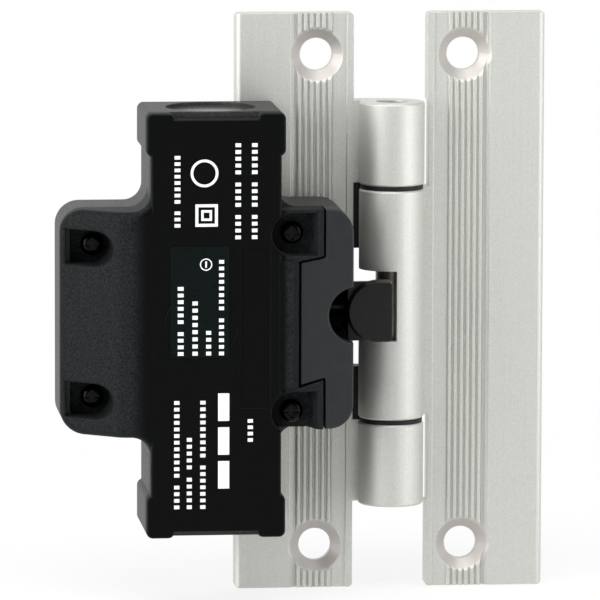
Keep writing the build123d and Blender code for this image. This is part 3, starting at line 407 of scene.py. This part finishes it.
def circle(x, z, radius, count=40):
    """Corners of a round loop."""
    turn = 2 * math.pi / count
    return [(x + radius * math.cos(i * turn), z + radius * math.sin(i * turn)) for i in range(count)]


def row_of_marks(left, right, bottom, words, pitch):
    """One printed line that runs upwards, as a row of small plain blocks for each word."""
    outlines = []
    z = bottom
    inset = BLOCK_INSET * (right - left)
    for word in words:
        for _ in range(word):
            top = z + BLOCK_SHARE * pitch
            outlines.append([bar(px(left + inset), px(right - inset), z * MM, top * MM)])
            z += pitch
        z += WORD_GAP * pitch
    return outlines


def print_on_lid(ink):
    """Rows of blocks, a double square, a ring and three bars; a row is left, right, bottom, words, pitch."""
    rows = [
        (-43.5, -41.4, 17.1, (3, 8), 1.18),
        (-32.1, -30.1, 14.8, (4, 4, 5), 1.27),
        (-29.0, -27.0, 14.8, (4, 4, 5), 1.27),
        (-43.5, -41.6, -36.0, (4, 12), 1.25),
        (-41.1, -39.3, -36.0, (5, 5), 1.30),
        (-38.6, -36.7, -36.0, (7, 9), 1.25),
        (-29.7, -27.8, -23.4, (4,), 1.2),
    ]
    outlines = []
    for left, right, bottom, words, pitch in rows:
        outlines += row_of_marks(left, right, bottom, words, pitch)
    square = ((-39.1, -34.9, 17.2, 21.4), (-38.55, -35.45, 17.75, 20.85))
    inner = ((-38.0, -36.0, 18.3, 20.3), (-37.55, -36.45, 18.75, 19.85))
    for outside, inside in (square, inner):
        outlines.append([bar(px(h0), px(h1), z0 * MM, z1 * MM) for h0, h1, z0, z1 in (outside, inside)])
    outlines.append([circle(px(-37.4), 27.2 * MM, radius * MM) for radius in (2.6, 2.1)])
    for bottom in (-32.2, -25.8, -19.4):
        outlines.append([bar(px(-34.8), px(-32.7), bottom * MM, (bottom + 5.2) * MM)])
    ink_piece("lid_print", outlines, LID_FACE_Y, ink)


def print_on_label(ink):
    """Rows of blocks and a small ring with a bar; a row is left, right, bottom, words, pitch."""
    rows = [
        (-42.9, -40.8, -7.0, (4, 6), 1.25),
        (-40.1, -38.2, -7.0, (8,), 1.35),
        (-37.5, -35.7, -7.0, (4,), 1.3),
        (-35.1, -33.3, -7.0, (6, 8), 1.25),
    ]
    outlines = []
    for left, right, bottom, words, pitch in rows:
        outlines += row_of_marks(left, right, bottom, words, pitch)
    outlines.append([circle(px(-37.1), 10.1 * MM, radius * MM, 28) for radius in (1.15, 0.95)])
    outlines.append([bar(px(-37.25), px(-36.95), 9.5 * MM, 10.7 * MM)])
    ink_piece("label_print", outlines, LABEL_FACE_Y, ink)


# Stage, light and camera
def add_camera():
    """Camera that looks at TARGET from DISTANCE, turned by AZIMUTH, ELEVATION and ROLL."""
    back = Vector((math.sin(AZIMUTH) * math.cos(ELEVATION), -math.cos(AZIMUTH) * math.cos(ELEVATION),
                   math.sin(ELEVATION)))
    data = bpy.data.cameras.new("photo_camera")
    data.lens = LENS
    data.clip_end = 20
    camera = bpy.data.objects.new("photo_camera", data)
    camera.rotation_mode = "QUATERNION"
    camera.location = TARGET + back * DISTANCE
    camera.rotation_quaternion = (-back).to_track_quat("-Z", "Y") @ Quaternion((0, 0, 1), ROLL)
    bpy.context.scene.collection.objects.link(camera)
    bpy.context.scene.camera = camera


def seen_rays(tree):
    """1 for the rays that see the background: camera, glossy and transmission rays."""
    path = tree.nodes.new("ShaderNodeLightPath")
    either = maths(tree, path.outputs["Is Camera Ray"], path.outputs["Is Glossy Ray"], "MAXIMUM")
    return maths(tree, either, path.outputs["Is Transmission Ray"], "MAXIMUM")


def stage_material(name):
    """White to the camera; near the object part of it is lit, so that it keeps a soft shadow."""
    material, tree, surface = new_material(name, (0.9, 0.9, 0.9), 0.9)
    vector = place(tree)
    tint = between(tree, noise(tree, vector, 4.0), (0.89, 0.89, 0.89), (0.91, 0.91, 0.91))
    tree.links.new(tint, surface.inputs["Base Color"])
    length = tree.nodes.new("ShaderNodeVectorMath")
    length.operation = "LENGTH"
    tree.links.new(vector, length.inputs[0])
    glow = spread(tree, length.outputs["Value"], *GLOW_REACH, GLOW_NEAR, 1, smooth=True)
    light = tree.nodes.new("ShaderNodeEmission")
    light.inputs["Strength"].default_value = 1.0
    mix = tree.nodes.new("ShaderNodeMixShader")
    tree.links.new(maths(tree, seen_rays(tree), glow), mix.inputs["Fac"])
    tree.links.new(surface.outputs["BSDF"], mix.inputs[1])
    tree.links.new(light.outputs["Emission"], mix.inputs[2])
    tree.links.new(mix.outputs["Shader"], tree.nodes["Material Output"].inputs["Surface"])
    return material


def stage_sheet(name, corners, material):
    """One flat face of the surroundings."""
    data = bpy.data.meshes.new(name)
    data.from_pydata(corners, [], [range(len(corners))])
    data.materials.append(material)
    sheet = bpy.data.objects.new(name, data)
    bpy.context.scene.collection.objects.link(sheet)


def add_stage():
    low = cad_low.z - FLOOR_GAP
    floor = [(-STAGE_HALF, -STAGE_HALF, low), (STAGE_HALF, -STAGE_HALF, low),
             (STAGE_HALF, STAGE_HALF, low), (-STAGE_HALF, STAGE_HALF, low)]
    stage_sheet("floor", floor, stage_material("floor_white"))


def add_world():
    """Room whose level changes with the direction along Y: dark in front, lightest behind.

    The camera sees it white everywhere, glossy and transmission rays only behind the object.
    """
    world = bpy.data.worlds.new("studio")
    bpy.context.scene.world = world
    world.use_nodes = True
    tree = world.node_tree
    lit = tree.nodes["Background"]
    lit.inputs["Color"].default_value = (1.0, 1.0, 0.99, 1)
    direction = tree.nodes.new("ShaderNodeTexCoord").outputs["Generated"]
    along = axis_of(tree, direction, "Y")
    side = spread(tree, along, *FRONT_CONE, ROOM_FRONT, ROOM_SIDE, smooth=True)
    back = spread(tree, along, *ROOM_TURN, 0, ROOM_BACK - ROOM_SIDE, smooth=True)
    tree.links.new(maths(tree, side, back, "ADD"), lit.inputs["Strength"])
    white = tree.nodes.new("ShaderNodeBackground")
    white.inputs["Color"].default_value = (1, 1, 1, 1)
    mix = tree.nodes.new("ShaderNodeMixShader")
    path = tree.nodes.new("ShaderNodeLightPath")
    through = maths(tree, path.outputs["Is Glossy Ray"], path.outputs["Is Transmission Ray"], "MAXIMUM")
    behind = maths(tree, through, spread(tree, along, *ROOM_TURN, 0, 1, smooth=True))
    tree.links.new(maths(tree, behind, path.outputs["Is Camera Ray"], "MAXIMUM"), mix.inputs["Fac"])
    tree.links.new(lit.outputs["Background"], mix.inputs[1])
    tree.links.new(white.outputs["Background"], mix.inputs[2])
    tree.links.new(mix.outputs["Shader"], tree.nodes["World Output"].inputs["Surface"])


def add_lamp(name, place_at, size, watts):
    """Rectangular light aimed at the origin."""
    data = bpy.data.lights.new(name, "AREA")
    data.shape = "RECTANGLE"
    data.size, data.size_y = size
    data.energy = watts
    lamp = bpy.data.objects.new(name, data)
    lamp.location = place_at
    lamp.rotation_mode = "QUATERNION"
    lamp.rotation_quaternion = (-lamp.location).to_track_quat("-Z", "Y")
    bpy.context.scene.collection.objects.link(lamp)


def add_light():
    add_world()
    add_lamp("right_softbox", Vector((0.38, -0.26, -0.06)), (0.3, 0.6), 1.6)
    add_lamp("left_softbox", Vector((-0.78, -0.44, 0.12)), (0.6, 1.0), 9.5)
    add_lamp("top_softbox", Vector((-0.05, -0.42, 0.75)), (0.8, 0.35), 5)


bpy.context.scene.view_settings.view_transform = "Standard"
add_camera()
add_stage()
add_light()
dress_nodes()
white_ink = printing_ink()
print_on_lid(white_ink)
print_on_label(white_ink)
